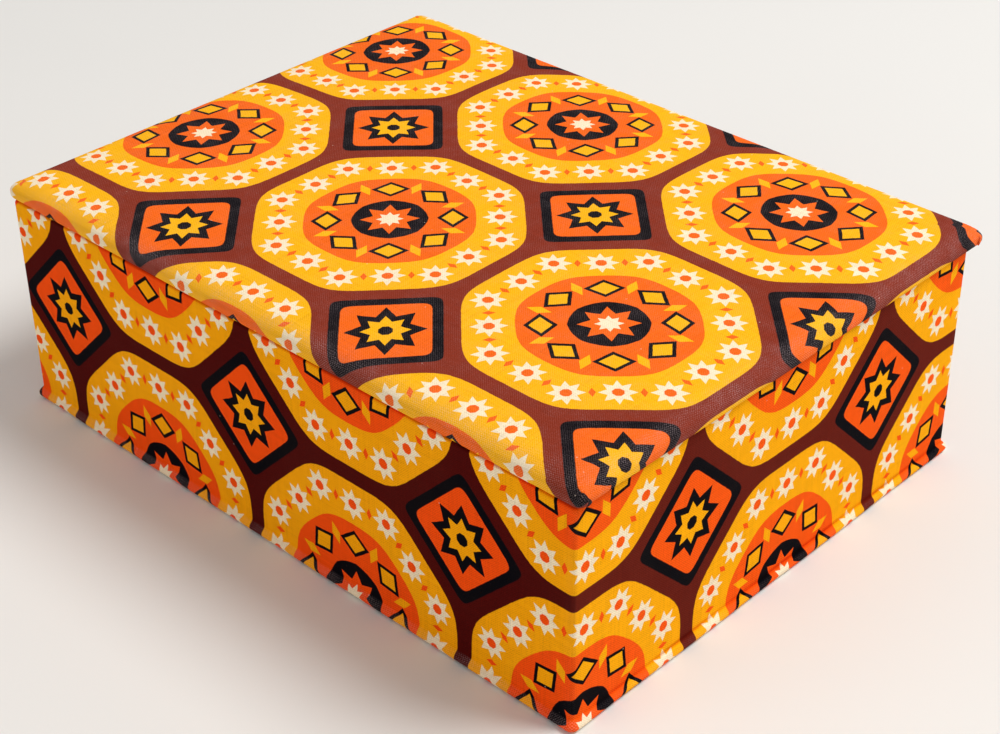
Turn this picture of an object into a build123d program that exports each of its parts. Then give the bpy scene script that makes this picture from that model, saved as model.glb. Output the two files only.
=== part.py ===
"""Keepsake box of board covered in printed cotton, with a padded lid on a cloth hinge.

Millimetres, +Z up. The origin is the middle of the underside. The length runs along X, the front faces -Y and the
hinge is at the back, on +Y.
"""

import os
from math import cos, hypot, radians, sin

from build123d import *

os.makedirs("parts", exist_ok=True)

# Driving sizes of the covered box
box_length = 305.0
box_width = 227.5
rim_height = 95.6

# Sheet stock
cloth = 0.6
wall_stock = 2.5
base_stock = 2.5
lid_stock = 2.5
lining_stock = 1.2
panel_stock = 0.8

# Base: how far it stands out past the walls, how its top edge is eased, and how far its panel stays in from its edge
base_lip = 2.0
lip_ease = 1.5
lip_ease_drop = 1.6
panel_margin = 4.5

# Cloth: how far it is turned in round an edge, and how sharply it folds
turn_in = 15.0
cloth_fold = 0.5
board_edge = 1.2

# Linings: how far they stop under the rim, and the room left round the floor and the lid's panel
lining_drop = 2.5
floor_gap = 0.3
mouth_gap = 1.2

# Lid: overhangs past the walls, the padded round of its edge and the crown of its top
lid_end_overhang = 2.3
lid_front_overhang = 0.4
lid_back_overhang = 6.8
lid_corner = 2.6
lid_round_width = 11.0
lid_round_rise = 5.6
lid_crown_reach = 62.0
lid_crown_rise = 1.5
lid_crown_corner = 9.0
lid_round_steps = 7

# Hinge cloth: how far it comes down the back wall, and how far it stops short of the ends
hinge_drop = 22.0
hinge_end_margin = 5.0

# Levels, from the table up
base_low = panel_stock + cloth
base_top = base_low + base_stock
board_top = rim_height - cloth
lip_slope = lip_ease_drop / lip_ease
lip_skin = cloth * hypot(1, lip_slope)
lip_high = base_top + lip_skin + (base_lip - cloth - lip_ease) * lip_slope
lip_low = lip_high - base_lip * lip_slope
lid_board_low = rim_height + cloth
lid_board_top = lid_board_low + lid_stock
lid_round_top = lid_board_top + lid_round_rise
wall_rise = board_top - base_top
lining_rise = rim_height - lining_drop - base_top

# Plan sizes
board_length = box_length - 2 * cloth
board_width = box_width - 2 * cloth
inside_board_length = board_length - 2 * wall_stock
inside_board_width = board_width - 2 * wall_stock
mouth_length = inside_board_length - 2 * lining_stock
mouth_width = inside_board_width - 2 * lining_stock
base_length = box_length + 2 * base_lip
base_width = box_width + 2 * base_lip
lid_length = box_length + 2 * lid_end_overhang
lid_width = box_width + lid_front_overhang + lid_back_overhang
lid_middle = (lid_back_overhang - lid_front_overhang) / 2
hinge_length = box_length - 2 * hinge_end_margin
back_face = box_width / 2


def rounded_plan(length, width, corner, level, middle=0):
    """A rectangle with rounded corners at the given level, its middle at the given y."""
    with BuildSketch(Plane((0, middle, level))) as plan:
        RectangleRounded(length, width, corner)
    return plan.sketch


def square_plan(length, width, level, middle=0):
    """A rectangle at the given level, its middle at the given y."""
    with BuildSketch(Plane((0, middle, level))) as plan:
        Rectangle(length, width)
    return plan.sketch


def turn_in_plan():
    """The band of cloth turned in on the inner faces of the front and end walls, at its lower edge."""
    with BuildSketch(Plane.XY.offset(rim_height - turn_in)) as plan:
        Rectangle(inside_board_length, inside_board_width)
        with Locations((0, cloth / 2)):
            Rectangle(
                inside_board_length - 2 * cloth, inside_board_width - cloth, mode=Mode.SUBTRACT
            )
    return plan.sketch


def hinge_plan():
    """The strip that the hinge cloth needs, forward over the back wall's top edge and under the lid."""
    return square_plan(hinge_length, turn_in, board_top, back_face - turn_in / 2)


def padded_plans(skin):
    """Plans of the lid's soft edge, less a skin: a quarter round from the board's edge up to the crown."""
    corner = lid_corner + cloth - skin
    plans = []
    for step in range(lid_round_steps + 1):
        angle = radians(90 * step / lid_round_steps)
        inset = lid_round_width * (1 - cos(angle))
        plans.append(
            rounded_plan(
                lid_length - 2 * (skin + inset),
                lid_width - 2 * (skin + inset),
                corner + (lid_crown_corner - corner) * inset / lid_round_width,
                lid_board_top + (lid_round_rise - skin) * sin(angle),
                lid_middle,
            )
        )
    return plans


def crown_plans(skin):
    """Plans of the lid's low crown, less a skin: from the top of the soft edge to the flat middle."""
    return [
        rounded_plan(
            lid_length - 2 * (skin + inset),
            lid_width - 2 * (skin + inset),
            lid_crown_corner,
            lid_round_top - skin + rise,
            lid_middle,
        )
        for inset, rise in ((lid_round_width, 0), (lid_crown_reach, lid_crown_rise))
    ]


# Base board: stiff board under the walls, with a lip all round, its top edge eased for the cloth
base_plan = rounded_plan(base_length - 2 * cloth, base_width - 2 * cloth, board_edge, base_low)
base_upright = base_stock - lip_ease_drop
base_eased_plans = [
    rounded_plan(base_length - 2 * inset, base_width - 2 * inset, board_edge, level)
    for inset, level in ((cloth, base_low + base_upright), (cloth + lip_ease, base_top))
]
with BuildPart() as base_board:
    extrude(base_plan, amount=base_upright)
    loft(base_eased_plans, ruled=True)
base_board.part.label = "base_board"
export_step(base_board.part, "parts/base_board.step")

# Base panel: covered card under the box, raised in the middle to fill the frame of turned-in cloth
base_frame = square_plan(base_length - 2 * turn_in, base_width - 2 * turn_in, panel_stock)
with BuildPart() as base_panel:
    panel_length = base_length - 2 * panel_margin
    panel_width = base_width - 2 * panel_margin
    extrude(rounded_plan(panel_length, panel_width, board_edge, 0), amount=panel_stock)
    extrude(base_frame, amount=cloth)
base_panel.part.label = "base_panel"
export_step(base_panel.part, "parts/base_panel.step")

# Front and back walls: full length, their outer upright edges eased for the cloth
for name, side in (("front_wall", -1), ("back_wall", 1)):
    with BuildPart() as long_wall:
        middle = side * (board_width - wall_stock) / 2
        extrude(square_plan(board_length, wall_stock, base_top, middle), amount=wall_rise)
        outer_face = long_wall.faces().sort_by(Axis.Y, reverse=side > 0)[0]
        fillet(outer_face.edges().filter_by(Axis.Z), board_edge)
    long_wall.part.label = name
    export_step(long_wall.part, f"parts/{name}.step")

# End walls: butted between the front and back walls
for name, side in (("left_wall", -1), ("right_wall", 1)):
    with BuildPart() as end_wall:
        with BuildSketch(Plane((side * (board_length - wall_stock) / 2, 0, base_top))):
            Rectangle(wall_stock, inside_board_width)
        extrude(amount=wall_rise)
    end_wall.part.label = name
    export_step(end_wall.part, f"parts/{name}.step")

# Wall cloth: one strip round the four walls, down over the lip and under the base, and in over the rim. Along the
# back it stops at the board's top edge, where the hinge cloth crosses.
with BuildPart() as wall_cloth:
    extrude(
        rounded_plan(base_length, base_width, board_edge + cloth, panel_stock),
        amount=lip_low - panel_stock,
    )
    loft(
        [
            rounded_plan(base_length, base_width, board_edge + cloth, lip_low),
            rounded_plan(box_length, box_width, board_edge + cloth, lip_high),
        ],
        ruled=True,
    )
    extrude(
        rounded_plan(box_length, box_width, board_edge + cloth, base_top),
        amount=rim_height - base_top,
    )
    flat_faces = wall_cloth.faces().filter_by(Plane.XY)
    fillet([edge for face in flat_faces for edge in face.outer_wire().edges()], cloth_fold)
    extrude(base_plan, amount=base_upright, mode=Mode.SUBTRACT)
    loft(base_eased_plans, ruled=True, mode=Mode.SUBTRACT)
    extrude(base_frame, amount=cloth, mode=Mode.SUBTRACT)
    extrude(
        rounded_plan(board_length, board_width, board_edge, base_top),
        amount=wall_rise,
        mode=Mode.SUBTRACT,
    )
    extrude(
        square_plan(inside_board_length, inside_board_width, board_top),
        amount=cloth,
        mode=Mode.SUBTRACT,
    )
    extrude(turn_in_plan(), amount=turn_in)
    extrude(hinge_plan(), amount=cloth, mode=Mode.SUBTRACT)
wall_cloth.part.label = "wall_cloth"
export_step(wall_cloth.part, "parts/wall_cloth.step")

# Wall linings: covered cards that stand on the base board, thinned where the turned-in cloth lies behind them
for name, side in (("front_lining", -1), ("back_lining", 1)):
    with BuildPart() as long_lining:
        middle = side * (inside_board_width - lining_stock) / 2
        extrude(
            square_plan(inside_board_length, lining_stock, base_top, middle),
            amount=lining_rise,
        )
        extrude(turn_in_plan(), amount=turn_in, mode=Mode.SUBTRACT)
    long_lining.part.label = name
    export_step(long_lining.part, f"parts/{name}.step")

for name, side in (("left_lining", -1), ("right_lining", 1)):
    with BuildPart() as end_lining:
        with BuildSketch(Plane((side * (inside_board_length - lining_stock) / 2, 0, base_top))):
            Rectangle(lining_stock, mouth_width)
        extrude(amount=lining_rise)
        extrude(turn_in_plan(), amount=turn_in, mode=Mode.SUBTRACT)
    end_lining.part.label = name
    export_step(end_lining.part, f"parts/{name}.step")

# Floor lining: covered card dropped in between the wall linings
with BuildPart() as floor_lining:
    extrude(
        square_plan(mouth_length - 2 * floor_gap, mouth_width - 2 * floor_gap, base_top),
        amount=lining_stock,
    )
floor_lining.part.label = "floor_lining"
export_step(floor_lining.part, "parts/floor_lining.step")

# Hinge cloth: up the back wall, folded at its top edge and forward between the rim and the lid
with BuildPart() as hinge_cloth:
    with BuildSketch(Plane.YZ):
        with BuildLine():
            Polyline(
                (back_face + cloth, rim_height - hinge_drop),
                (back_face + cloth, rim_height),
                (back_face - turn_in, rim_height),
                (back_face - turn_in, board_top),
                (back_face, board_top),
                (back_face, rim_height - hinge_drop),
                close=True,
            )
        make_face()
    extrude(amount=hinge_length / 2, both=True)
    top_edges = hinge_cloth.faces().sort_by(Axis.Z)[-1].edges().filter_by(Axis.X)
    fillet(top_edges.sort_by(Axis.Y)[-1], cloth_fold)
hinge_cloth.part.label = "hinge_cloth"
export_step(hinge_cloth.part, "parts/hinge_cloth.step")

# Lid board
lid_plan = rounded_plan(
    lid_length - 2 * cloth, lid_width - 2 * cloth, lid_corner, lid_board_low, lid_middle
)
with BuildPart() as lid_board:
    extrude(lid_plan, amount=lid_stock)
lid_board.part.label = "lid_board"
export_step(lid_board.part, "parts/lid_board.step")

# Lid padding: wadding with a low crown, drawn down to the board's edge all round
with BuildPart() as lid_padding:
    loft(padded_plans(cloth), ruled=True)
    loft(crown_plans(cloth), ruled=True)
lid_padding.part.label = "lid_padding"
export_step(lid_padding.part, "parts/lid_padding.step")

# Lid cloth: drawn over the wadding, down the board's edges and turned in underneath
lid_frame = square_plan(lid_length - 2 * turn_in, lid_width - 2 * turn_in, rim_height, lid_middle)
with BuildPart() as lid_cloth:
    extrude(
        rounded_plan(lid_length, lid_width, lid_corner + cloth, rim_height, lid_middle),
        amount=cloth + lid_stock,
    )
    fillet(lid_cloth.faces().sort_by(Axis.Z)[0].edges(), cloth_fold)
    loft(padded_plans(0), ruled=True)
    loft(crown_plans(0), ruled=True)
    extrude(lid_plan, amount=lid_stock, mode=Mode.SUBTRACT)
    loft(padded_plans(cloth), ruled=True, mode=Mode.SUBTRACT)
    loft(crown_plans(cloth), ruled=True, mode=Mode.SUBTRACT)
    extrude(lid_frame, amount=cloth, mode=Mode.SUBTRACT)
lid_cloth.part.label = "lid_cloth"
export_step(lid_cloth.part, "parts/lid_cloth.step")

# Lid lining: covered card that drops into the mouth. Its raised middle fills the frame of turned-in cloth, and its
# back edge is thinned over the hinge cloth.
with BuildPart() as lid_lining:
    extrude(
        rounded_plan(
            mouth_length - 2 * mouth_gap,
            mouth_width - 2 * mouth_gap,
            board_edge,
            rim_height - lining_stock,
        ),
        amount=lining_stock,
    )
    extrude(lid_frame, amount=cloth)
    extrude(hinge_plan(), amount=cloth, mode=Mode.SUBTRACT)
lid_lining.part.label = "lid_lining"
export_step(lid_lining.part, "parts/lid_lining.step")
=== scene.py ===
"""The looks of a cloth-covered keepsake box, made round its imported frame. Metres, +Z up, front on -Y."""

from math import cos, pi, radians, sin

import bmesh
import bpy
import numpy as np
from mathutils import Euler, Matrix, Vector, noise


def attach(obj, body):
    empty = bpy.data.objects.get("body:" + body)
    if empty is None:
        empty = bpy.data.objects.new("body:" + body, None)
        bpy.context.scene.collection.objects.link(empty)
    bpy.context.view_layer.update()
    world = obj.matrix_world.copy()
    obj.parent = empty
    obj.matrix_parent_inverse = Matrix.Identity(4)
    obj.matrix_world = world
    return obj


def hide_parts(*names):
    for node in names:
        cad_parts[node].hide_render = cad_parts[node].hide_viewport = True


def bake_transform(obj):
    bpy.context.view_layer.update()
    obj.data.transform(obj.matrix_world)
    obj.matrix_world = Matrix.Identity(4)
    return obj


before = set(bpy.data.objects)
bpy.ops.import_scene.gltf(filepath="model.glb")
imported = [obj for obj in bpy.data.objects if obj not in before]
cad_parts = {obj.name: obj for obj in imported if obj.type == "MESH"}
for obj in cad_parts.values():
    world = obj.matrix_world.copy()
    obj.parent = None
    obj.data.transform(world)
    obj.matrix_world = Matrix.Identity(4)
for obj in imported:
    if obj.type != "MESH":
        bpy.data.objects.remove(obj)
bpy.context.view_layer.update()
MM = 0.001


# Floor, lamps and camera
# A level floor of pale matt paint keeps the box's shadow, and far out it passes into the backdrop's colour.
# One broad soft lamp stands high on the right and behind. A weak warm one in front fills the near long side,
# and so does an even surround.
def rgb(red, green, blue):
    """A linear colour from screen values of 0 to 255."""
    linear = (v / 3294.6 if v <= 10 else ((v / 255 + 0.055) / 1.055) ** 2.4 for v in (red, green, blue))
    return (*linear, 1)


def add_node(tree, kind, feeds=None, **settings):
    """A shader node of that kind, its sockets set to a value or linked to another node's socket."""
    made = tree.nodes.new("ShaderNode" + kind)
    for name, value in settings.items():
        setattr(made, name, value)
    for socket, value in (feeds or {}).items():
        if isinstance(value, bpy.types.NodeSocket):
            tree.links.new(value, made.inputs[socket])
        else:
            made.inputs[socket].default_value = value
    return made


def calc(tree, operation, *values, clamp=False):
    """The result of one sum on numbers or sockets."""
    return add_node(tree, "Math", dict(enumerate(values)), operation=operation, use_clamp=clamp).outputs[0]


def between(tree, under, over, share):
    """The colour under, painted with the colour over to that share."""
    return add_node(tree, "Mix", {0: share, 6: under, 7: over}, data_type="RGBA").outputs[2]


def flecks(tree, place, scale, detail=3.0, rough=0.5):
    """Noise at a place, from 0 to 1."""
    feeds = {"Vector": place, "Scale": scale, "Detail": detail, "Roughness": rough}
    return add_node(tree, "TexNoise", feeds).outputs[0]


def ramp(tree, value, low, high, to_low=0.0, to_high=1.0):
    """A value brought from one range to another, with a smooth step."""
    feeds = {0: value, 1: low, 2: high, 3: to_low, 4: to_high}
    return add_node(tree, "MapRange", feeds, interpolation_type="SMOOTHSTEP").outputs[0]


def new_material(name, roughness, **sockets):
    """A material, its tree and its shader, with the shader's even values set on its own sockets."""
    made = bpy.data.materials.new(name)
    made.use_nodes = True
    shader = made.node_tree.nodes["Principled BSDF"]
    shader.inputs["Roughness"].default_value = roughness
    for socket, value in sockets.items():
        shader.inputs[socket.replace("_", " ")].default_value = value
    return made, made.node_tree, shader


def relief(tree, shader, height, depth, strength=0.6):
    """Height as bump, with its depth in metres."""
    feeds = {"Height": height, "Distance": depth, "Strength": strength}
    tree.links.new(add_node(tree, "Bump", feeds).outputs[0], shader.inputs["Normal"])


def put_in_scene(name, data):
    """An object of that name with that data, linked into the scene."""
    made = bpy.data.objects.new(name, data)
    bpy.context.scene.collection.objects.link(made)
    return made


BACKDROP = rgb(236, 235, 233)

floor_paint, tree, shader = new_material("floor paint", 0.7)
place = add_node(tree, "TexCoord").outputs["Object"]
cloudy = flecks(tree, place, 3.0)
tree.links.new(between(tree, rgb(229, 228, 226), rgb(233, 232, 230), cloudy), shader.inputs["Base Color"])
from_box = add_node(tree, "VectorMath", {0: place}, operation="LENGTH").outputs["Value"]
camera_ray = add_node(tree, "LightPath").outputs["Is Camera Ray"]
far_out = calc(tree, "MULTIPLY", ramp(tree, from_box, 0.9, 2.8), camera_ray)
plain = add_node(tree, "Emission", {"Color": BACKDROP, "Strength": 1.0}).outputs[0]
floor_look = add_node(tree, "MixShader", {0: far_out, 1: shader.outputs[0], 2: plain}).outputs[0]
tree.links.new(floor_look, tree.nodes["Material Output"].inputs["Surface"])

FLOOR_HALF = 6.0
floor_mesh = bpy.data.meshes.new("floor")
corners = [(x * FLOOR_HALF, y * FLOOR_HALF, 0) for x, y in ((-1, -1), (1, -1), (1, 1), (-1, 1))]
floor_mesh.from_pydata(corners, [], [(0, 1, 2, 3)])
floor_mesh.materials.append(floor_paint)
floor = put_in_scene("floor", floor_mesh)

world = bpy.data.worlds.new("surround")
bpy.context.scene.world = world
world.use_nodes = True
tree = world.node_tree
tree.nodes.clear()
path = add_node(tree, "LightPath").outputs
seen = calc(tree, "MAXIMUM", path["Is Camera Ray"], path["Is Glossy Ray"])
seen = calc(tree, "MAXIMUM", seen, path["Is Transmission Ray"])
soft_light = add_node(tree, "Background", {"Color": (1.0, 0.985, 0.965, 1), "Strength": 0.42})
backdrop = add_node(tree, "Background", {"Color": BACKDROP, "Strength": 1.0})
shown = add_node(tree, "MixShader", {0: seen, 1: soft_light.outputs[0], 2: backdrop.outputs[0]})
add_node(tree, "OutputWorld", {"Surface": shown.outputs[0]})

for name, lamp_place, size, power, tint in (
    ("soft lamp", (1.15, 0.95, 2.30), 1.3, 57.5, (1.0, 0.985, 0.96)),
    ("fill lamp", (-0.90, -2.20, 1.10), 1.6, 9.0, (1.0, 0.92, 0.82)),
):
    lamp_data = bpy.data.lights.new(name, "AREA")
    lamp_data.shape = "DISK"
    lamp_data.size = size
    lamp_data.energy = power
    lamp_data.color = tint
    lamp = put_in_scene(name, lamp_data)
    lamp.location = lamp_place
    lamp.rotation_euler = (-Vector(lamp_place)).to_track_quat("-Z", "Y").to_euler()

camera_data = bpy.data.cameras.new("camera")
camera_data.sensor_width = 36.0
camera_data.lens = 72.84
camera_data.clip_start = 0.02
camera = put_in_scene("camera", camera_data)
camera.location = (0.4908, -0.5000, 0.4847)
camera.rotation_euler = Euler((radians(56.87), radians(0.48), radians(43.52)))
bpy.context.scene.camera = camera
bpy.context.scene.view_settings.view_transform = "Standard"


# Boards
# The base board, four walls and lid board are cut from raw greyboard of pressed paper pulp, butted and glued.
# Cotton and paper cover nearly all of it, so it shows only at a cut edge, as mottled grey with dark fibres.
def give_material(names, material):
    """Gives the frame's nodes of those names one material in place of their own."""
    for name in names:
        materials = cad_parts[name].data.materials
        materials.clear()
        materials.append(material)


greyboard, tree, shader = new_material("greyboard", 0.92, Specular_IOR_Level=0.25)
place = add_node(tree, "TexCoord").outputs["Object"]
layers = add_node(tree, "Mapping", {"Vector": place, "Scale": (1, 1, 9)}).outputs[0]
pulp = between(tree, rgb(150, 143, 132), rgb(176, 169, 156), flecks(tree, layers, 420.0, 5.0))
fibre = ramp(tree, flecks(tree, place, 2600.0, 2.0), 0.62, 0.70, 0.0, 0.5)
tree.links.new(between(tree, pulp, rgb(96, 88, 78), fibre), shader.inputs["Base Color"])
relief(tree, shader, flecks(tree, layers, 1800.0, 4.0), 0.15 * MM)

give_material(("base_board", "front_wall", "back_wall", "left_wall", "right_wall", "lid_board"), greyboard)


# Wall cloth
# One strip of printed plain-weave cotton goes round the four walls, over their rim and over the base's lip.
# It is glued down, turned in at the top and underneath, and lapped on the back wall near the left corner.
# Its ink lies on the thread tops, and dust and lint show on the dark parts.
SIDE_OF_DIAGONAL = 0.70711


def eightfold(tree, x, y):
    """A point's place in its eighth of a figure with eight like sides: out from the middle, and along."""
    longer = calc(tree, "MAXIMUM", x, y)
    shorter = calc(tree, "MINIMUM", x, y)
    slant = calc(tree, "MULTIPLY", calc(tree, "ADD", longer, shorter), SIDE_OF_DIAGONAL)
    cross = calc(tree, "MULTIPLY", calc(tree, "SUBTRACT", longer, shorter), SIDE_OF_DIAGONAL)
    return calc(tree, "MAXIMUM", longer, slant), calc(tree, "MINIMUM", shorter, cross)


def star(tree, x, y):
    """A measure that is even along the outline of one of the band's eight-pointed stars."""
    out, along = eightfold(tree, calc(tree, "ABSOLUTE", x), calc(tree, "ABSOLUTE", y))
    return calc(tree, "MULTIPLY_ADD", along, BAND_NOTCH, out)


def octagon(tree, x, y):
    """A measure that is even along the outline of an octagon."""
    return eightfold(tree, calc(tree, "ABSOLUTE", x), calc(tree, "ABSOLUTE", y))[0]


def lozenge(tree, x, y, length):
    """A measure that is even along the outline of a lozenge, drawn out along y by that length."""
    return calc(tree, "MULTIPLY_ADD", calc(tree, "ABSOLUTE", y), 1 / length, calc(tree, "ABSOLUTE", x))


# The print in mm: its repeat, and how far the ring of stars and the ring of lozenges lie from an octagon's
# middle. Half an octagon's side is a fixed share of that. The deeper a notch, the narrower a star's points.
PRINT_REPEAT = 112.0
HALF_REPEAT = PRINT_REPEAT / 2
BAND_MIDDLE = 42.6
HALF_SIDE_SHARE = 0.41421
BAND_STEP = BAND_MIDDLE * HALF_SIDE_SHARE
INNER_MIDDLE = 24.4
BAND_NOTCH, MIDDLE_NOTCH, CORNER_NOTCH = 2.1, 1.9, 1.7
OCTAGON_ROUNDING, SQUARE_ROUNDING = 11.0, 6.0
INK_BLEED = 0.35
EDGE_SHARPNESS = 3.6
# The first inks show as on the shaded front wall. The second are lighter copies of three of them, painted
# light for the lit lid top and, in part, the right and back walls.
INKS = {
    "yellow": rgb(253, 168, 8),
    "orange": rgb(250, 81, 13),
    "brown": rgb(77, 9, 7),
    "black": rgb(6, 5, 11),
    "cream": rgb(249, 231, 197),
}
LIT_INKS = {"yellow": rgb(252, 182, 9), "orange": rgb(246, 104, 17), "brown": rgb(133, 47, 28)}


def print_group():
    """The print at a place in mm: octagons ringed with stars and lozenges, and squares with a star."""
    tree = bpy.data.node_groups.new("cotton print", "ShaderNodeTree")
    tree.interface.new_socket("Cloth", in_out="INPUT", socket_type="NodeSocketVector")
    tree.interface.new_socket("Lit_share", in_out="INPUT", socket_type="NodeSocketFloat")
    tree.interface.new_socket("Ink", in_out="OUTPUT", socket_type="NodeSocketColor")
    start, lit_share = tree.nodes.new("NodeGroupInput").outputs[:2]
    wander = add_node(tree, "TexNoise", {"Vector": start, "Scale": 0.45, "Detail": 2.0}).outputs["Color"]
    centred = add_node(tree, "VectorMath", {0: wander, 1: (0.5, 0.5, 0.5)}, operation="SUBTRACT").outputs[0]
    bleeding = {0: centred, 1: (INK_BLEED, INK_BLEED, 0), 2: start}
    bled = add_node(tree, "VectorMath", bleeding, operation="MULTIPLY_ADD").outputs[0]
    split = add_node(tree, "SeparateXYZ", {0: bled}).outputs
    across, up = (
        calc(tree, "ABSOLUTE", calc(tree, "WRAP", split[i], HALF_REPEAT, -HALF_REPEAT)) for i in (0, 1)
    )

    out, along = eightfold(tree, across, up)
    slant = calc(tree, "MULTIPLY", calc(tree, "ADD", across, up), SIDE_OF_DIAGONAL)
    side = calc(tree, "MAXIMUM", across, up)
    ring = calc(tree, "SMOOTH_MAX", side, slant, OCTAGON_ROUNDING)

    from_corner = [calc(tree, "SUBTRACT", HALF_REPEAT, v) for v in (across, up)]
    diagonal = calc(tree, "MULTIPLY", calc(tree, "ADD", *from_corner), SIDE_OF_DIAGONAL)
    off_diagonal = calc(tree, "MULTIPLY", calc(tree, "SUBTRACT", *from_corner), SIDE_OF_DIAGONAL)
    skew = calc(tree, "ABSOLUTE", off_diagonal)
    square = calc(tree, "SMOOTH_MAX", diagonal, skew, SQUARE_ROUNDING)

    band = calc(tree, "SUBTRACT", out, BAND_MIDDLE)
    band_far = calc(tree, "SUBTRACT", BAND_STEP, along)
    band_stars = calc(tree, "MINIMUM", star(tree, band, along), star(tree, band, band_far))
    band_eyes = calc(tree, "MINIMUM", octagon(tree, band, along), octagon(tree, band, band_far))
    band_between = lozenge(tree, band, calc(tree, "SUBTRACT", BAND_STEP / 2, along), 0.5)

    # Each side of the orange ring has one long lozenge, and a narrow one points outward where two sides meet.
    inner = calc(tree, "SUBTRACT", out, INNER_MIDDLE)
    long_lozenges = lozenge(tree, inner, along, 1.25)
    to_joint = calc(tree, "MULTIPLY_ADD", out, cos(pi / 8), calc(tree, "MULTIPLY", along, sin(pi / 8)))
    off_joint = calc(tree, "MULTIPLY_ADD", along, cos(pi / 8), calc(tree, "MULTIPLY", out, -sin(pi / 8)))
    joint_middle = calc(tree, "SUBTRACT", to_joint, INNER_MIDDLE / cos(pi / 8))
    narrow_lozenges = lozenge(tree, off_joint, joint_middle, 2.2)

    middle_star = calc(tree, "MULTIPLY_ADD", along, MIDDLE_NOTCH, out)
    corner_out, corner_along = eightfold(tree, *from_corner)
    corner_star = calc(tree, "MULTIPLY_ADD", corner_along, CORNER_NOTCH, corner_out)

    # Each ink is taken toward its painted lit copy by the share of painted light, and lies where its measure
    # is below its limit in mm, over the inks before it.
    inks = {ink: between(tree, INKS[ink], LIT_INKS.get(ink, INKS[ink]), lit_share) for ink in INKS}
    colour = inks["brown"]
    for measure, limit, ink in (
        (square, 20.6, "black"),
        (square, 16.6, "orange"),
        (corner_star, 15.0, "black"),
        (corner_star, 9.2, "yellow"),
        (corner_out, 2.6, "black"),
        (ring, 52.4, "yellow"),
        (band_stars, 6.9, "cream"),
        (band_eyes, 2.1, "orange"),
        (band_between, 2.6, "orange"),
        (ring, 33.4, "orange"),
        (long_lozenges, 6.2, "black"),
        (long_lozenges, 4.3, "yellow"),
        (narrow_lozenges, 2.2, "yellow"),
        (ring, 15.4, "black"),
        (middle_star, 11.6, "orange"),
        (middle_star, 5.4, "cream"),
    ):
        edge = calc(tree, "MULTIPLY_ADD", measure, -EDGE_SHARPNESS, limit * EDGE_SHARPNESS + 0.5, clamp=True)
        colour = between(tree, colour, inks[ink], edge)
    finish = tree.nodes.new("NodeGroupOutput")
    tree.links.new(colour, finish.inputs[0])
    return tree


PRINT_TREE = print_group()
THREAD = 0.5
# A slub is a thick place in a thread: fine across the thread, and long along it.
SLUB_ACROSS, SLUB_ALONG = 2.4, 0.05
WEAVE_SHADE, SLUB_SHADE, FUZZ_SHADE = 0.15, 0.42, 0.52
# Painted shade takes least from red and most from blue, so it is warm, as light bounced inside a crease is.
SHADE_TINT_POWERS = (0.35, 1.0, 1.3)


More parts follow.
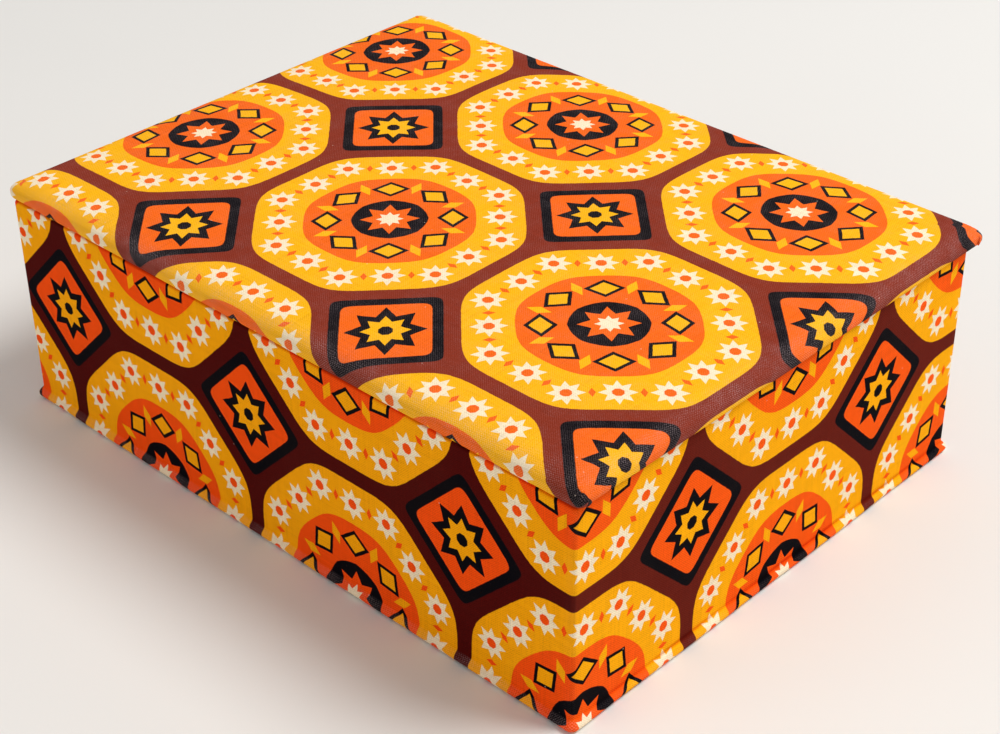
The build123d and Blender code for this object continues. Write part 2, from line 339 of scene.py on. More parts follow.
def printed_cotton(name, shift):
    """Printed cotton, its print moved that far in mm on its map, with wear, painted light and shade from its
    mesh.
    """
    made, tree, shader = new_material(
        name, 0.9, Specular_IOR_Level=0.03, Sheen_Weight=0.004, Sheen_Roughness=0.5
    )
    cloth = add_node(tree, "UVMap", uv_map="cloth").outputs[0]
    to_mm = {"Vector": cloth, "Scale": (1000, 1000, 0), "Location": (*shift, 0)}
    in_mm = add_node(tree, "Mapping", to_mm).outputs[0]
    design = add_node(tree, "Group", node_tree=PRINT_TREE)
    tree.links.new(in_mm, design.inputs[0])
    tree.links.new(add_node(tree, "Attribute", attribute_name="lit_share").outputs["Fac"], design.inputs[1])

    lines = add_node(tree, "SeparateXYZ", {0: in_mm}).outputs
    warp_slub, weft_slub = (
        flecks(tree, add_node(tree, "Mapping", {"Vector": in_mm, "Scale": (*fineness, 1)}).outputs[0], 1.0)
        for fineness in ((SLUB_ACROSS, SLUB_ALONG), (SLUB_ALONG, SLUB_ACROSS))
    )
    waves = []
    for line, slub in ((lines[0], warp_slub), (lines[1], weft_slub)):
        turned = calc(tree, "MULTIPLY_ADD", line, pi / THREAD, calc(tree, "MULTIPLY", slub, 3.0))
        waves.append(calc(tree, "SINE", turned))
    weave = calc(tree, "MULTIPLY", *waves)
    slubs = calc(tree, "ADD", warp_slub, weft_slub)
    fuzz = flecks(tree, in_mm, 2.2, 4.0, 0.7)

    faded = ramp(tree, flecks(tree, in_mm, 0.03, 3.0), 0.35, 0.75, 0.0, 0.005)
    colour = between(tree, design.outputs[0], rgb(214, 176, 140), faded)
    slub_shade = calc(tree, "MULTIPLY_ADD", slubs, SLUB_SHADE, 1 - SLUB_SHADE)
    shade = calc(tree, "MULTIPLY_ADD", weave, WEAVE_SHADE, slub_shade)
    grained = calc(tree, "MULTIPLY_ADD", fuzz, FUZZ_SHADE, calc(tree, "SUBTRACT", shade, FUZZ_SHADE / 2))

    # Where the mesh's value is below nothing, painted shade darkens the cloth: in a crease, on the rim under
    # the lid and on the lid's cloth under its edge.
    wear_light_and_shade = add_node(tree, "Attribute", attribute_name="wear_light_and_shade").outputs["Fac"]
    unshaded = calc(tree, "MULTIPLY_ADD", calc(tree, "MINIMUM", wear_light_and_shade, 0.0), 0.75, 1.0, clamp=True)
    left = [calc(tree, "MULTIPLY", grained, calc(tree, "POWER", unshaded, power)) for power in SHADE_TINT_POWERS]
    painted_shade = add_node(tree, "CombineColor", dict(enumerate(left))).outputs[0]
    multiply = add_node(tree, "Mix", {0: 1.0, 6: colour, 7: painted_shade}, data_type="RGBA", blend_type="MULTIPLY")
    colour = multiply.outputs[2]

    # Above nothing, the mesh's value rubs the thread tops pale: wear, and painted light on the lip and
    # painted sheen on the lid's top.
    thread_tops = calc(tree, "MULTIPLY_ADD", weave, 0.18, fuzz)
    bare = ramp(tree, thread_tops, 0.40, 0.86)
    patchy = ramp(tree, flecks(tree, in_mm, 0.11, 4.0, 0.6), 0.35, 0.75, 0.35, 1.0)
    wear_and_light = calc(tree, "MAXIMUM", wear_light_and_shade, 0.0)
    rubbed_and_lit = calc(tree, "MULTIPLY", calc(tree, "MULTIPLY", wear_and_light, patchy), bare)
    colour = between(tree, colour, rgb(192, 172, 176), calc(tree, "MULTIPLY", rubbed_and_lit, 0.55, clamp=True))
    lint = add_node(tree, "TexVoronoi", {"Vector": in_mm, "Scale": 0.16, "Randomness": 1.0}).outputs
    least = calc(tree, "MULTIPLY_ADD", wear_and_light, -0.3, 0.86)
    chosen = calc(tree, "GREATER_THAN", add_node(tree, "SeparateColor", {0: lint["Color"]}).outputs[0], least)
    speck = calc(tree, "MULTIPLY", chosen, ramp(tree, lint["Distance"], 0.015, 0.06, 0.6, 0.0))
    colour = between(tree, colour, rgb(226, 206, 190), speck)
    tree.links.new(colour, shader.inputs["Base Color"])

    height = calc(tree, "MULTIPLY_ADD", slubs, 0.5, calc(tree, "MULTIPLY_ADD", weave, 0.3, fuzz))
    relief(tree, shader, height, 0.12 * MM, 0.5)
    return made


def grid_faces(at):
    """The faces of four points that a grid has, from the points' numbers by row and column."""
    return np.stack([at[:-1, :-1], at[:-1, 1:], at[1:, 1:], at[1:, :-1]], axis=-1).reshape(-1, 4)


def cloth_mesh(name, points, flat, material, wear_light_and_shade=0.0, lit_share=0.0, keep=None, rows_go_down=False):
    """A cloth of rows and columns of points in mm, with its flat places in mm as the map named cloth."""
    rows, columns = points.shape[:2]
    mesh = bpy.data.meshes.new(name)
    quads = grid_faces(np.arange(rows * columns).reshape(rows, columns))
    if rows_go_down:
        quads = quads[:, ::-1]
    if keep is not None:
        quads = quads[keep.reshape(-1)]
    mesh.from_pydata((points.reshape(-1, 3) * MM).tolist(), [], quads.tolist())
    layer = mesh.uv_layers.new(name="cloth")
    layer.data.foreach_set("uv", (flat.reshape(-1, 2)[quads.reshape(-1)] * MM).reshape(-1).astype(np.float32))
    for label, values in (("wear_light_and_shade", wear_light_and_shade), ("lit_share", lit_share)):
        wear = mesh.attributes.new(label, "FLOAT", "POINT")
        at_points = np.broadcast_to(values, (rows, columns)).reshape(-1)
        wear.data.foreach_set("value", at_points.astype(np.float32))
    mesh.materials.append(material)
    mesh.shade_smooth()
    return put_in_scene(name, mesh)


def apply_modifiers(piece):
    """Gives a piece the mesh that its modifiers leave."""
    seen_by = bpy.context.evaluated_depsgraph_get()
    result = piece.evaluated_get(seen_by)
    made = bpy.data.meshes.new_from_object(result, preserve_all_data_layers=True, depsgraph=seen_by)
    piece.modifiers.clear()
    old = piece.data
    piece.data = made
    bpy.data.meshes.remove(old)


def thicken(piece, thickness):
    """Gives a cloth its thickness, inward from the face that shows."""
    shell = piece.modifiers.new("thickness", "SOLIDIFY")
    shell.thickness = thickness * MM
    shell.offset = -1.0
    shell.use_rim = True
    apply_modifiers(piece)


def drop_loose_points(piece):
    """Takes out the points that no face uses, and joins those that lie on each other."""
    work = bmesh.new()
    work.from_mesh(piece.data)
    bmesh.ops.delete(work, geom=[v for v in work.verts if not v.link_faces], context="VERTS")
    bmesh.ops.remove_doubles(work, verts=work.verts, dist=0.005 * MM)
    work.to_mesh(piece.data)
    work.free()


def steps(start, stop, spacing):
    """Even places from start up to but not at stop, no further apart than the spacing."""
    count = max(1, int(np.ceil(abs(stop - start) / spacing)))
    return list(np.linspace(start, stop, count, endpoint=False))


def length_along(x, y):
    """How far along a line each of its points lies."""
    return np.concatenate([[0], np.cumsum(np.hypot(np.diff(x), np.diff(y)))])


def flat_places(across, up):
    """The flat place of each crossing of a cloth's columns and rows."""
    return np.stack(np.broadcast_arrays(across[None, :], up[:, None]), axis=-1)


def hump(values, middle, width):
    """1 at the middle, and falling to 0 on both sides of it over about that width."""
    return np.exp(-((values - middle) / width) ** 2)


# In mm: half the plan over the walls, the rim's height, a corner's radius, and the length of each side's end
# whose columns shift to meet the corner. The seam has its place, its lap and its rise.
WALL_HALF_X, WALL_HALF_Y = 152.5, 113.75
RIM = 95.6
CORNER = 1.8
PULLED_IN = 30.0
SEAM_AT, SEAM_LAP, SEAM_RISE = 128.0, 7.0, 0.35
CLOTH_THICK = 0.5
ROW_STEP, COLUMN_STEP, CORNER_STEPS = 3.0, 3.5, 5

# The strip's cross-section, from its edge inside the mouth, over the rim and down over the lip to underneath:
# how far out from the wall's face, and how high.
wall_section = [(-3.7, z) for z in steps(80.8, 94.7, ROW_STEP)]
LAST_INNER_ROW = len(wall_section) - 1
wall_section += [(-3.7, 94.7), (-3.6, 95.15), (-3.3, 95.48), (-2.9, 95.6), (-2.1, 95.62), (-1.25, 95.58)]
wall_section += [(-0.68, 95.4), (-0.3, 95.1), (-0.09, 94.7), (0, 94.2)]
RIM_ROW = len(wall_section) - 1
wall_section += [(0, z) for z in steps(93.6, 7.2, ROW_STEP)]
wall_section += [(0, 7.2), (0, 6.2), (0.02, 5.4), (0.1, 4.9), (0.34, 4.48), (0.72, 4.06), (1.1, 3.65)]
wall_section += [(1.45, 3.27), (1.74, 2.9), (1.93, 2.5), (2.0, 2.05), (1.96, 1.55), (1.78, 1.15)]
wall_section += [(1.45, 0.9), (0.9, 0.8)]
wall_section += [(n, 0.8) for n in steps(-0.3, -13.0, ROW_STEP)] + [(-13.0, 0.8)]
outward, level = np.array(wall_section).T
run = length_along(outward, level)
up_cloth = level[RIM_ROW] + run[RIM_ROW] - run

# Under the hinge cloth the strip lies close on the back wall's top edge, and it stops over the back lining.
# The three limits lie 0.05 mm clear of the wall board's inner face, its top edge and the lining's top edge.
HINGE_HALF = 147.5
OVER_BOARD_FACE, OVER_BOARD_EDGE, OVER_LINING = -3.15, 95.05, 93.15
in_mouth = np.arange(len(level)) < RIM_ROW
close_outward = np.where(in_mouth, np.maximum(outward, OVER_BOARD_FACE), outward)
close_level = np.where(in_mouth, np.minimum(level, OVER_BOARD_EDGE), level)
close_level[LAST_INNER_ROW] = OVER_LINING

# The strip's columns: side, place along it, and how far round the corner after it.
SIDES = {
    "left": ((-1, 0), (0, -1), WALL_HALF_X, WALL_HALF_Y),
    "front": ((0, -1), (1, 0), WALL_HALF_Y, WALL_HALF_X),
    "right": ((1, 0), (0, 1), WALL_HALF_X, WALL_HALF_Y),
    "back": ((0, 1), (-1, 0), WALL_HALF_Y, WALL_HALF_X),
}


def corner_radius(out):
    """The plan's corner radius that far out from the walls' faces."""
    return np.maximum(CORNER + 0.6 * out, 0.3)


def strip_place(side, along, turn, out):
    """The plan's place for each distance out, at a place along a side or a share of the turn past its end."""
    facing, going, across, half = SIDES[side]
    radius = corner_radius(out)
    reach = half + out - radius
    if turn is None:
        end = half - CORNER
        near = max(0.0, abs(along) - (end - PULLED_IN)) / PULLED_IN
        pulled = np.sign(along) * (end - PULLED_IN + near * (reach - end + PULLED_IN))
        place_along = np.where(near > 0, pulled, along)
        place_out = across + out
    else:
        angle = turn * pi / 2
        place_along = reach + radius * sin(angle)
        place_out = across + out - radius + radius * cos(angle)
    return np.stack([facing[i] * place_out + going[i] * place_along for i in (0, 1)], axis=-1)


strip = [("back", a, None) for a in steps(SEAM_AT, WALL_HALF_X - CORNER, COLUMN_STEP)]
strip += [("back", 0.0, i / CORNER_STEPS) for i in range(CORNER_STEPS)]
for side in ("left", "front", "right"):
    end = SIDES[side][3] - CORNER
    strip += [(side, a, None) for a in steps(-end, end, COLUMN_STEP)]
    strip += [(side, 0.0, i / CORNER_STEPS) for i in range(CORNER_STEPS)]
strip += [("back", a, None) for a in steps(CORNER - WALL_HALF_X, SEAM_AT, COLUMN_STEP)]
lap_from = len(strip)
strip += [("back", a, None) for a in np.linspace(SEAM_AT, SEAM_AT + SEAM_LAP, 4)]

on_wall = (level < 93) & (level > 9) & (outward == 0)
on_lip = (outward > 0.08) & (level < 5)
crease = hump(level, 4.7, 0.9)
wall_points = np.zeros((len(level), len(strip), 3))
for column, (side, along, turn) in enumerate(strip):
    lapped = min(1.0, max(0, column - lap_from + 2) / 2) * SEAM_RISE
    number = list(SIDES).index(side)
    sway = np.array([noise.noise(Vector((along / 70, z / 45, 3.1 + 7 * number))) for z in level])
    by_side = 9.0 + 5 * number
    fading = 0.0 if turn is not None else min(1.0, (SIDES[side][3] - abs(along)) / 20)
    ripple, wave = (
        fading * noise.noise(Vector((along / length, k, by_side))) for length, k in ((26, 0), (60, 4))
    )
    under_hinge = side == "back" and turn is None and abs(along) <= HINGE_HALF
    out, height = (close_outward, close_level) if under_hinge else (outward, level)
    out = out + lapped * np.where(in_mouth, -0.1, 1.0) + np.where(on_wall, 0.12 * fading * sway, 0)
    out += np.where(on_lip, (0.35 * ripple + 0.5 * wave) * np.clip(outward, 0, 1), 0)
    wall_points[:, column, :2] = strip_place(side, along, turn, out)
    wall_points[:, column, 2] = height + lapped * np.where(in_mouth, 0.1, np.where(level <= 0.8, -1.0, 0.0))
    wall_points[:, column, 2] += crease * (0.5 * ripple + 0.4 * wave)
at_rim = wall_points[RIM_ROW, :, :2]
along_cloth = np.concatenate([[0], np.cumsum(np.linalg.norm(np.diff(at_rim, axis=0), axis=1))])
wall_flat = flat_places(along_cloth, up_cloth)

# On the back wall the strip isn't turned in further than the lining's top edge.
back_column = np.array([side == "back" and turn is None for side, along, turn in strip])
cell_back = back_column[:-1] & back_column[1:]
row_of_cell = np.arange(len(level) - 1)
wall_keep = ~((row_of_cell[:, None] < LAST_INNER_ROW) & cell_back[None, :])

# Wear, painted light and painted shade: the lip is rubbed pale and painted lighter, as its slope catches
# light from above. The crease over it has painted shade, dark on the right and back, less so by a corner. The
# rim has painted shadow where the lid shuts over it.
EVEN_RUB = 0.03
CREASE_SHADE = {"left": 0.25, "front": 0.12, "right": 0.95, "back": 0.6}
LIP_RUB_AND_LIGHT = {"left": 0.8, "front": 0.9, "right": 0.35, "back": 0.4}
# Painted light and shade: the inks are paler on the lit right and back walls, a little on the left, and
# deepest on the shaded front, and the even rub follows them.
SIDE_LIT_SHARE = {"left": 0.1, "front": 0.0, "right": 0.33, "back": 0.33}
NEXT_SIDE = {"back": "left", "left": "front", "front": "right", "right": "back"}
wall_lit_share = np.array(
    [SIDE_LIT_SHARE[side] + (turn or 0.0) * (SIDE_LIT_SHARE[NEXT_SIDE[side]] - SIDE_LIT_SHARE[side]) for side, along, turn in strip]
)
turning = np.array([1.0 if turn is not None else 0.0 for side, along, turn in strip])
lip_rub_and_light = np.array([LIP_RUB_AND_LIGHT[side] for side, along, turn in strip])
crease_shade = np.zeros(len(strip))
for column, (side, along, turn) in enumerate(strip):
    from_corner = 0.0 if turn is not None else SIDES[side][3] - abs(along)
    uneven = 0.8 + 0.5 * noise.noise(Vector((along / 22, 0.0, 4.6)))
    crease_shade[column] = CREASE_SHADE[side] * uneven * min(1.0, 0.15 + from_corner / 25)
crease_line = hump(level, 4.9, 0.9)
wall_wear_light_and_shade = np.full((len(level), len(strip)), EVEN_RUB) * (0.2 + 2.4 * wall_lit_share[None, :])
wall_wear_light_and_shade += 0.12 * turning[None, :] * ((level > 6) & (outward >= 0))[:, None]
# Painted light on the lip with its rubbing, painted shade in the crease, and painted shadow on the rim under
# the lid.
wall_wear_light_and_shade += (np.clip((4.9 - level) / 0.8, 0, 1) * (outward > 0.05))[:, None] * lip_rub_and_light[None, :]
wall_wear_light_and_shade -= crease_line[:, None] * crease_shade[None, :]
wall_wear_light_and_shade -= (0.8 * np.clip((level - 94.5) / 0.8, 0, 1) * (outward > -1.3))[:, None]

wall_cotton = printed_cotton("wall cotton", (0.0, 0.0))
wall_cloth = cloth_mesh(
    "wall_strip", wall_points, wall_flat, wall_cotton, wall_wear_light_and_shade, wall_lit_share, wall_keep, rows_go_down=True
)
drop_loose_points(wall_cloth)
thicken(wall_cloth, CLOTH_THICK)
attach(wall_cloth, "box")
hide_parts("wall_cloth")


# Linings
# Cards covered in cream laid paper are glued inside the walls, dropped on the floor and glued under the lid.
# The paper has the close ribs and wider chain lines of its mould, and has gone a little brown in patches.
RIB_STEP, CHAIN_STEP = 1.1, 25.0

laid_paper, tree, shader = new_material("laid paper", 0.88, Specular_IOR_Level=0.3)
place = add_node(tree, "TexCoord").outputs["Object"]
parts = add_node(tree, "SeparateXYZ", {0: place}).outputs
level_with = calc(tree, "ADD", parts[1], parts[2])
ribs = calc(tree, "SINE", calc(tree, "MULTIPLY", level_with, 2 * pi / (RIB_STEP * MM)))
chains = calc(tree, "SINE", calc(tree, "MULTIPLY", parts[0], 2 * pi / (CHAIN_STEP * MM)))
chain_lines = ramp(tree, chains, 0.985, 1.0, 0.0, 0.1)
mottle = flecks(tree, place, 60.0, 5.0, 0.6)
colour = between(tree, rgb(232, 218, 184), rgb(243, 233, 205), mottle)
mould_lines = calc(tree, "MULTIPLY_ADD", ribs, 0.06, chain_lines, clamp=True)
colour = between(tree, colour, rgb(214, 196, 158), mould_lines)
stained = ramp(tree, flecks(tree, place, 14.0, 4.0), 0.58, 0.80, 0.0, 0.35)
tree.links.new(between(tree, colour, rgb(205, 178, 130), stained), shader.inputs["Base Color"])
relief(tree, shader, calc(tree, "MULTIPLY_ADD", ribs, 0.35, flecks(tree, place, 900.0, 3.0)), 0.08 * MM, 0.5)

give_material(
    ("front_lining", "back_lining", "left_lining", "right_lining", "floor_lining", "lid_lining"), laid_paper
)


# Base panel
# A card covered in dark brown paper is glued under the box, over the turned-in cotton. The box rests on it,
# so its paper is scuffed pale where it has slid on shelves.
base_paper, tree, shader = new_material("base paper", 0.82, Specular_IOR_Level=0.35)
place = add_node(tree, "TexCoord").outputs["Object"]
grain = flecks(tree, place, 700.0, 4.0, 0.65)
colour = between(tree, rgb(70, 44, 31), rgb(92, 62, 44), grain)
slid = add_node(tree, "Mapping", {"Vector": place, "Scale": (6, 90, 6), "Rotation": (0, 0, 0.35)}).outputs[0]
scuffs = ramp(tree, flecks(tree, slid, 6.0, 5.0, 0.7), 0.60, 0.74, 0.0, 0.5)
tree.links.new(between(tree, colour, rgb(150, 122, 98), scuffs), shader.inputs["Base Color"])
relief(tree, shader, grain, 0.1 * MM, 0.4)

give_material(("base_panel",), base_paper)


# Lid cloth
# Printed cotton is drawn over the lid's wadding, down the board's edges and turned in underneath. At each
# corner its fullness is tucked into one flat pleat on the end. Handling has rubbed the print pale along the
# front and right.

# In mm: half the lid's plan and how far back its middle lies, the heights of the board, the edge's soft round
# and the crown, and how far in the round and the crown reach. An inset is found by halving its range.
LID_HALF_X, LID_HALF_Y, LID_MIDDLE = 154.8, 117.35, 3.2
BOARD_TOP, ROUND_TOP, CROWN_TOP = 98.7, 104.3, 105.3
ROUND_WIDTH, CROWN_REACH = 11.0, 62.0
LID_CORNER, CROWN_CORNER, WIDEST_CORNER = 2.6, 9.0, 30.0
EDGE_BAND = 14.0
DEEPEST_INSET = LID_HALF_Y - 10.0
HALVINGS = 26


def plan_inset(x, y):
    """How far in from the lid's outline a place is, on outlines whose corners round off further in."""
    low, high = np.zeros(x.shape), np.full(x.shape, DEEPEST_INSET)
    for _ in range(HALVINGS):
        inset = (low + high) / 2
        radius = np.minimum(LID_CORNER + (CROWN_CORNER - LID_CORNER) * inset / ROUND_WIDTH, WIDEST_CORNER)
        over_x = np.abs(x) - (LID_HALF_X - inset - radius)
        over_y = np.abs(y) - (LID_HALF_Y - inset - radius)
        past_corner = np.hypot(np.maximum(over_x, 0), np.maximum(over_y, 0))
        beyond = past_corner + np.minimum(np.maximum(over_x, over_y), 0)
        inside = beyond < radius
        low, high = np.where(inside, inset, low), np.where(inside, high, inset)
    return low


def lid_height(inset):
    """The wadding's height under the cloth: a soft quarter round, then a low crown."""
    rounding = np.clip(1 - inset / ROUND_WIDTH, 0, 1)
    edge = BOARD_TOP + (ROUND_TOP - BOARD_TOP) * np.sqrt(np.maximum(1 - rounding**2.2, 0))
    crown = np.clip((inset - ROUND_WIDTH) / (CROWN_REACH - ROUND_WIDTH), 0, 1)
    return edge + (CROWN_TOP - ROUND_TOP) * (1 - (1 - crown) ** 2)


# The cloth's cross-section from the band's inner line outward: inset from the outline, and height.
band_section = [(inset, lid_height(np.array(inset))) for inset in np.linspace(EDGE_BAND, EDGE_BAND / 12, 12)]
band_section += [(inset, lid_height(np.array(inset))) for inset in (0.8, 0.5, 0.28, 0.12, 0.03)]
TOP_RINGS = len(band_section)
band_section += [(0, 98.6), (0, 98.1), (0, 97.6), (0.04, 97.1), (0.16, 96.6), (0.42, 96.12)]
band_section += [(0.85, 95.78), (1.5, 95.62)]
EDGE_RINGS = len(band_section)
band_section += [(inset, RIM) for inset in (2.0, 3.5, 5.5, 8.0, 10.5, 13.0, 15.0)]
band_inset, band_level = np.array(band_section, float).T
band_run = length_along(band_inset, band_level)
slopes = np.stack([np.gradient(band_level, band_run), np.gradient(-band_inset, band_run)])
facing_out, facing_up = -slopes[0], slopes[1]


def lid_lines(half):
    """The grid's lines one way: the flat place of each, and which ring of the band it is."""
    start = half - EDGE_BAND
    inner = steps(-start, start, ROW_STEP)[1:]
    flat = [-start - r for r in band_run[::-1]] + inner + [start + r for r in band_run]
    index = list(range(len(band_run) - 1, -1, -1)) + [0] * len(inner) + list(range(len(band_run)))
    return np.array(flat), np.array(index)


# A corner's pleat in mm: how much spare cloth it leaves untucked, how far it reaches past the corner at most,
# how deep it is before its layers lie full, and how thick a layer is. It fades out toward the underside.
PLEAT_LEFT_OUT, PLEAT_REACH, PLEAT_FULL, PLEAT_LAYER = 1.2, 4.6, 1.5, 0.42
PLEAT_LOW, PLEAT_FADE = 95.7, 2.4


def pleated(flat_length, arc, tucked):
    """A corner's folds: shares of the cloth's length, where they lie on the arc, and the layers under."""
    spare = flat_length - arc
    depth = max(0.0, spare - PLEAT_LEFT_OUT) / 2 * tucked
    fold = arc + min(depth, PLEAT_REACH)
    whole = arc + 2 * depth
    rise = min(1.0, depth / PLEAT_FULL)
    return (
        np.array([0.0, fold, fold + depth, whole]) / max(whole, 1e-6),
        np.array([0.0, fold, fold - depth, arc]),
        np.array([0.0, 2.0 * rise, 1.0 * rise, 0.0]),
    )


# Underneath, the cloth is cut off at each corner's mitre, each ring this far past the band's start.
MITRE_CORNER = LID_CORNER + 1.5
MITRE = EDGE_BAND - band_inset - (1 - cos(pi / 4)) * np.maximum(MITRE_CORNER - band_inset, 0)


def lid_place(far_x, ring, signs, past_x, past_y):
    """A crossing's place in plan and its lift off the surface, from how far it is past the band's start."""
    inset = band_inset[ring]
    start = np.array([LID_HALF_X, LID_HALF_Y]) - EDGE_BAND
    if ring == 0:
        return signs[0] * (start[0] + past_x), signs[1] * (start[1] + past_y), 0.0
    radius = min(LID_CORNER, EDGE_BAND - inset)
    straight = EDGE_BAND - inset - radius
    far, along = (0, past_y) if far_x else (1, past_x)
    if ring >= EDGE_RINGS and along >= MITRE[ring]:
        return *(signs * (start + MITRE[ring])), 0.0
    if ring >= EDGE_RINGS or along <= straight:
        place = np.zeros(2)
        place[far] = start[far] + EDGE_BAND - inset
        place[1 - far] = start[1 - far] + along
        return *(signs * place), 0.0
    arc = radius * pi / 2
    half_share = (along - straight) / (band_run[ring] - straight) / 2
    share = 1 - half_share if far_x else half_share
    tucked = float(np.clip((band_level[ring] - PLEAT_LOW) / PLEAT_FADE, 0, 1))
    shares, places, lifts = pleated(2 * (band_run[ring] - straight), arc, tucked)
    at = float(np.interp(share, shares, places))
    lift = float(np.interp(share, shares, lifts)) * PLEAT_LAYER * tucked
    middle = start + EDGE_BAND - inset - radius
    if at <= arc:
        angle = at / radius
        place = middle + radius * np.array([sin(angle), cos(angle)])
    else:
        place = np.array([middle[0] + radius, middle[1] - (at - arc)])
    return *(signs * place), lift


flat_x, index_x = lid_lines(LID_HALF_X)
flat_y, index_y = lid_lines(LID_HALF_Y)
ring_of = np.maximum(index_x[None, :], index_y[:, None])
lid_points = np.zeros((*ring_of.shape, 3))
lid_lift = np.zeros(ring_of.shape)
for row, column in np.ndindex(ring_of.shape):
    signs = np.array([np.sign(flat_x[column]) or 1, np.sign(flat_y[row]) or 1])
    past_x = abs(flat_x[column]) - LID_HALF_X + EDGE_BAND
    past_y = abs(flat_y[row]) - LID_HALF_Y + EDGE_BAND
    far_x = index_x[column] >= index_y[row]
    x, y, lid_lift[row, column] = lid_place(far_x, ring_of[row, column], signs, past_x, past_y)
    lid_points[row, column, :2] = x, y
on_top = ring_of < TOP_RINGS
inset_there = plan_inset(lid_points[..., 0], lid_points[..., 1])
lid_points[..., 2] = np.where(on_top, lid_height(inset_there), band_level[ring_of])
lid_points[..., 0] += np.sign(flat_x)[None, :] * lid_lift * facing_out[ring_of]
lid_points[..., 2] += lid_lift * np.maximum(facing_up[ring_of], 0)
lid_flat = flat_places(flat_x, flat_y)

# Wadding is never quite even: it has broad lumps with smaller ones on them, and none at the edge.
for row, column in np.argwhere(inset_there > 0.02):
    x, y, z = lid_points[row, column]
    free = min(1.0, inset_there[row, column] / 25) ** 2
    broad = noise.noise(Vector((x / 48, y / 48, 1.7)))
    small = noise.noise(Vector((x / 21, y / 21, 5.2)))
    lid_points[row, column, 2] += free * (0.4 * broad + 0.15 * small)
lid_points[..., 1] += LID_MIDDLE

# The tucked folds are soft cloth, so they are eased: each point goes halfway to its neighbours' middle.
EASED_CORNER, EASED_TOP_RINGS, EASING_ROUNDS = 22, 6, 4
off_ends = np.abs(lid_points[..., 0]) < LID_HALF_X - EASED_CORNER
off_sides = np.abs(lid_points[..., 1] - LID_MIDDLE) < LID_HALF_Y - EASED_CORNER
easing = np.where(off_ends | off_sides, 0.0, 0.5)
easing *= (ring_of > TOP_RINGS - EASED_TOP_RINGS) & (ring_of < EDGE_RINGS)
for _ in range(EASING_ROUNDS):
    beside = sum(np.roll(lid_points, step, axis) for step in (1, -1) for axis in (0, 1))
    lid_points += easing[..., None] * (beside / 4 - lid_points)

# What the mitres cut away has closed up to nothing, and is left out.
LEAST_FACE = 0.002
one_way = lid_points[1:, 1:] - lid_points[:-1, :-1]
other_way = lid_points[1:, :-1] - lid_points[:-1, 1:]
lid_keep = np.linalg.norm(np.cross(one_way, other_way), axis=-1) > LEAST_FACE

# The edge is rubbed pale in front and on the right. The even rub over the whole top is partly wear and partly
# painted sheen, and painted shade darkens the cloth under the edge.
near_edge = hump(inset_there, 2.5, 4.5) * (ring_of < EDGE_RINGS)
by_front = np.clip((-lid_points[..., 1] - 95) / 12, 0, 1)
by_right = np.clip((lid_points[..., 0] - 140) / 10, 0, 1)
lid_wear_light_and_shade = 0.44 + near_edge * (0.12 + 0.7 * np.maximum(by_front, by_right))
under_edge = np.clip((96.9 - band_level) / 0.9, 0, 1)
under_edge_shade = under_edge * (1.4 - 1.1 * np.clip((band_inset - 1.0) / 2.5, 0, 1))
lid_wear_light_and_shade = np.where(on_top, lid_wear_light_and_shade, lid_wear_light_and_shade - under_edge_shade[ring_of])

lid_cotton = printed_cotton("lid cotton", (14.0, 38.0))
LID_CLOTH_THICK = 0.36

# The cloth is held at its glued edges, and the wadding's pressure lifts its top by no more than the swell.
SWELL = 0.9
SIMULATED_FRAMES = 20
top_part = np.ix_(np.flatnonzero(index_y < EDGE_RINGS), np.flatnonzero(index_x < EDGE_RINGS))
stretched = cloth_mesh("stretched_top", lid_points[top_part], lid_flat[top_part], lid_cotton)
held = stretched.vertex_groups.new(name="held")
hold = np.where(on_top, np.clip(1 - inset_there / 12, 0, 1), 1.0)[top_part]
for number, weight in enumerate(hold.reshape(-1)):
    held.add([number], float(weight), "REPLACE")
drawn = stretched.modifiers.new("drawn over the wadding", "CLOTH")
settings = drawn.settings
settings.quality = 5
settings.mass = 0.12
settings.tension_stiffness = settings.compression_stiffness = 25.0
settings.bending_stiffness = 2.0
settings.air_damping = 4.0
settings.vertex_group_mass = "held"
settings.pin_stiffness = 1.0
settings.use_pressure = True
settings.uniform_pressure_force = 4.0
settings.effector_weights.gravity = 0.0
drawn.collision_settings.use_collision = False
drawn.point_cache.frame_start, drawn.point_cache.frame_end = 1, SIMULATED_FRAMES
for step in range(1, SIMULATED_FRAMES + 1):
    bpy.context.scene.frame_set(step)
now = stretched.evaluated_get(bpy.context.evaluated_depsgraph_get()).data
swollen = np.array([v.co for v in now.vertices]).reshape(lid_points[top_part].shape) / MM
stretched_mesh = stretched.data
bpy.data.objects.remove(stretched)
bpy.data.meshes.remove(stretched_mesh)
bpy.context.scene.frame_set(1)
moved = swollen - lid_points[top_part]
distance = np.linalg.norm(moved, axis=-1)
print("wadding swells by", np.round(np.percentile(distance, (50, 90, 100)), 3), "mm")
kept_share = SWELL * np.tanh(distance / SWELL) / np.maximum(distance, 1e-6)
lid_points[top_part] += moved * kept_share[..., None]

# The lid's cloth takes the lighter copies of the inks all over: painted light on its top.
lid_cloth = cloth_mesh("lid_cover", lid_points, lid_flat, lid_cotton, lid_wear_light_and_shade, 1.0, lid_keep)
drop_loose_points(lid_cloth)
thicken(lid_cloth, LID_CLOTH_THICK)
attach(lid_cloth, "lid")
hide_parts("lid_cloth")


# Lid padding
# Sheets of white cotton wadding lie on the lid board and fill what the cloth leaves, thick in the middle and
# drawn down to nothing at the board's edges. Nothing of it shows while the cloth is whole.
wadding, tree, shader = new_material("cotton wadding", 0.95, Specular_IOR_Level=0.15, Sheen_Weight=0.2)
place = add_node(tree, "TexCoord").outputs["Object"]
fluff = flecks(tree, place, 500.0, 6.0, 0.7)
clumps = flecks(tree, place, 90.0, 3.0)
tree.links.new(between(tree, rgb(226, 221, 208), rgb(246, 243, 234), clumps), shader.inputs["Base Color"])
relief(tree, shader, fluff, 0.5 * MM)

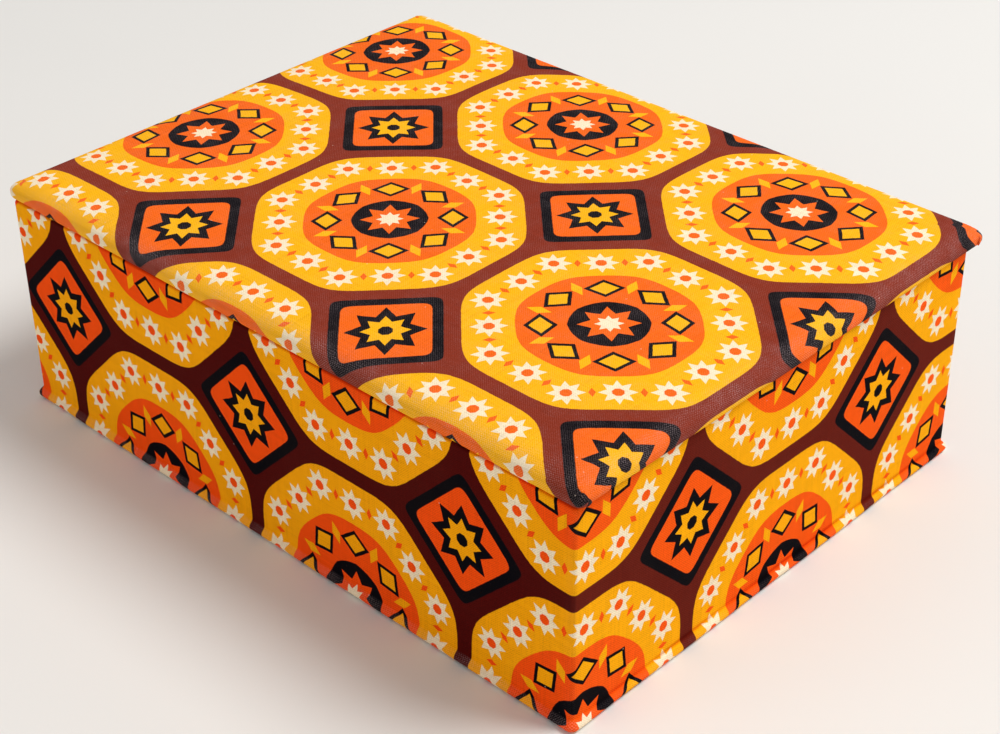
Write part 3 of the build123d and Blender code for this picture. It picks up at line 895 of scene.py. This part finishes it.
top_columns = np.flatnonzero(index_x < TOP_RINGS - 1)
top_rows = np.flatnonzero(index_y < TOP_RINGS - 1)
UNDER_CLOTH, IN_FROM_CLOTH = 0.62, 0.9
LEAST_WADDING, OFF_BOARD = 0.15, 0.01
upper = lid_points[top_rows[0] : top_rows[-1] + 1, top_columns[0] : top_columns[-1] + 1].copy()
upper[..., 0] *= 1 - IN_FROM_CLOTH / LID_HALF_X
upper[..., 1] = LID_MIDDLE + (upper[..., 1] - LID_MIDDLE) * (1 - IN_FROM_CLOTH / LID_HALF_Y)
upper[..., 2] = np.maximum(upper[..., 2] - UNDER_CLOTH, BOARD_TOP + LEAST_WADDING)
lower = upper.copy()
lower[..., 2] = BOARD_TOP + OFF_BOARD
rows, columns = upper.shape[:2]
at = np.arange(rows * columns).reshape(rows, columns)
top_faces = grid_faces(at)
around = np.concatenate([at[0, :-1], at[:-1, -1], at[-1, :0:-1], at[:0:-1, 0]])
beside = np.roll(around, -1)
below = rows * columns
side_faces = np.stack([around, around + below, beside + below, beside], axis=-1)
padding_mesh = bpy.data.meshes.new("lid_wadding")
padding_mesh.from_pydata(
    (np.concatenate([upper.reshape(-1, 3), lower.reshape(-1, 3)]) * MM).tolist(),
    [],
    top_faces.tolist() + (top_faces[:, ::-1] + below).tolist() + side_faces.tolist(),
)
padding_mesh.materials.append(wadding)
padding_mesh.shade_smooth()
padding = put_in_scene("lid_wadding", padding_mesh)
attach(padding, "lid")
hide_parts("lid_padding")


# Hinge cloth
# A strip of the same cotton is glued down the back wall and forward under the lid, between the two. It is the
# whole hinge, and its ink has cracked pale along the fold.
HINGE_DROP, HINGE_FORWARD = 22.0, 15.0
BACK_FACE = WALL_HALF_Y
HINGE_OUT, HINGE_LEVEL = BACK_FACE + 0.6, 95.58
hinge_section = [(HINGE_OUT, z) for z in steps(RIM - HINGE_DROP, 94.0, 2.5)]
hinge_section += [(HINGE_OUT, 94.0), (HINGE_OUT, 94.6), (BACK_FACE + 0.56, 95.02)]
FOLD_ROW = len(hinge_section) - 1
hinge_section += [(BACK_FACE + 0.42, 95.36), (BACK_FACE + 0.16, 95.54), (BACK_FACE - 0.2, HINGE_LEVEL)]
hinge_section += [(y, HINGE_LEVEL) for y in steps(BACK_FACE - 1.0, BACK_FACE - HINGE_FORWARD, 2.0)]
hinge_section += [(BACK_FACE - HINGE_FORWARD, HINGE_LEVEL)]
hinge_y, hinge_z = np.array(hinge_section).T
hinge_run = length_along(hinge_y, hinge_z)
hinge_x = np.array(steps(-HINGE_HALF, HINGE_HALF, COLUMN_STEP) + [HINGE_HALF])
hinge_points = np.zeros((len(hinge_run), len(hinge_x), 3))
hinge_points[..., 0] = -hinge_x[None, :]
hinge_points[..., 1] = hinge_y[:, None]
hinge_points[..., 2] = hinge_z[:, None]
near_cut = np.clip(1 - hinge_run / 8, 0, 1)
for column, x in enumerate(hinge_x):
    cut = 0.5 * noise.noise(Vector((x / 40, 0, 2.4))) + 0.15 * noise.noise(Vector((x / 6, 0, 8.1)))
    hinge_points[:, column, 2] += cut * near_cut
hinge_flat = flat_places(hinge_x, hinge_run)
hinge_worn = (0.2 + 0.8 * hump(hinge_run, hinge_run[FOLD_ROW], 1.4))[:, None]
hinge_cotton = printed_cotton("hinge cotton", (-30.0, 64.0))
# The hinge takes the back wall's share of painted light on its inks.
hinge = cloth_mesh("hinge_strip", hinge_points, hinge_flat, hinge_cotton, hinge_worn, SIDE_LIT_SHARE["back"])
thicken(hinge, CLOTH_THICK)
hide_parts("hinge_cloth")
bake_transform(hinge)
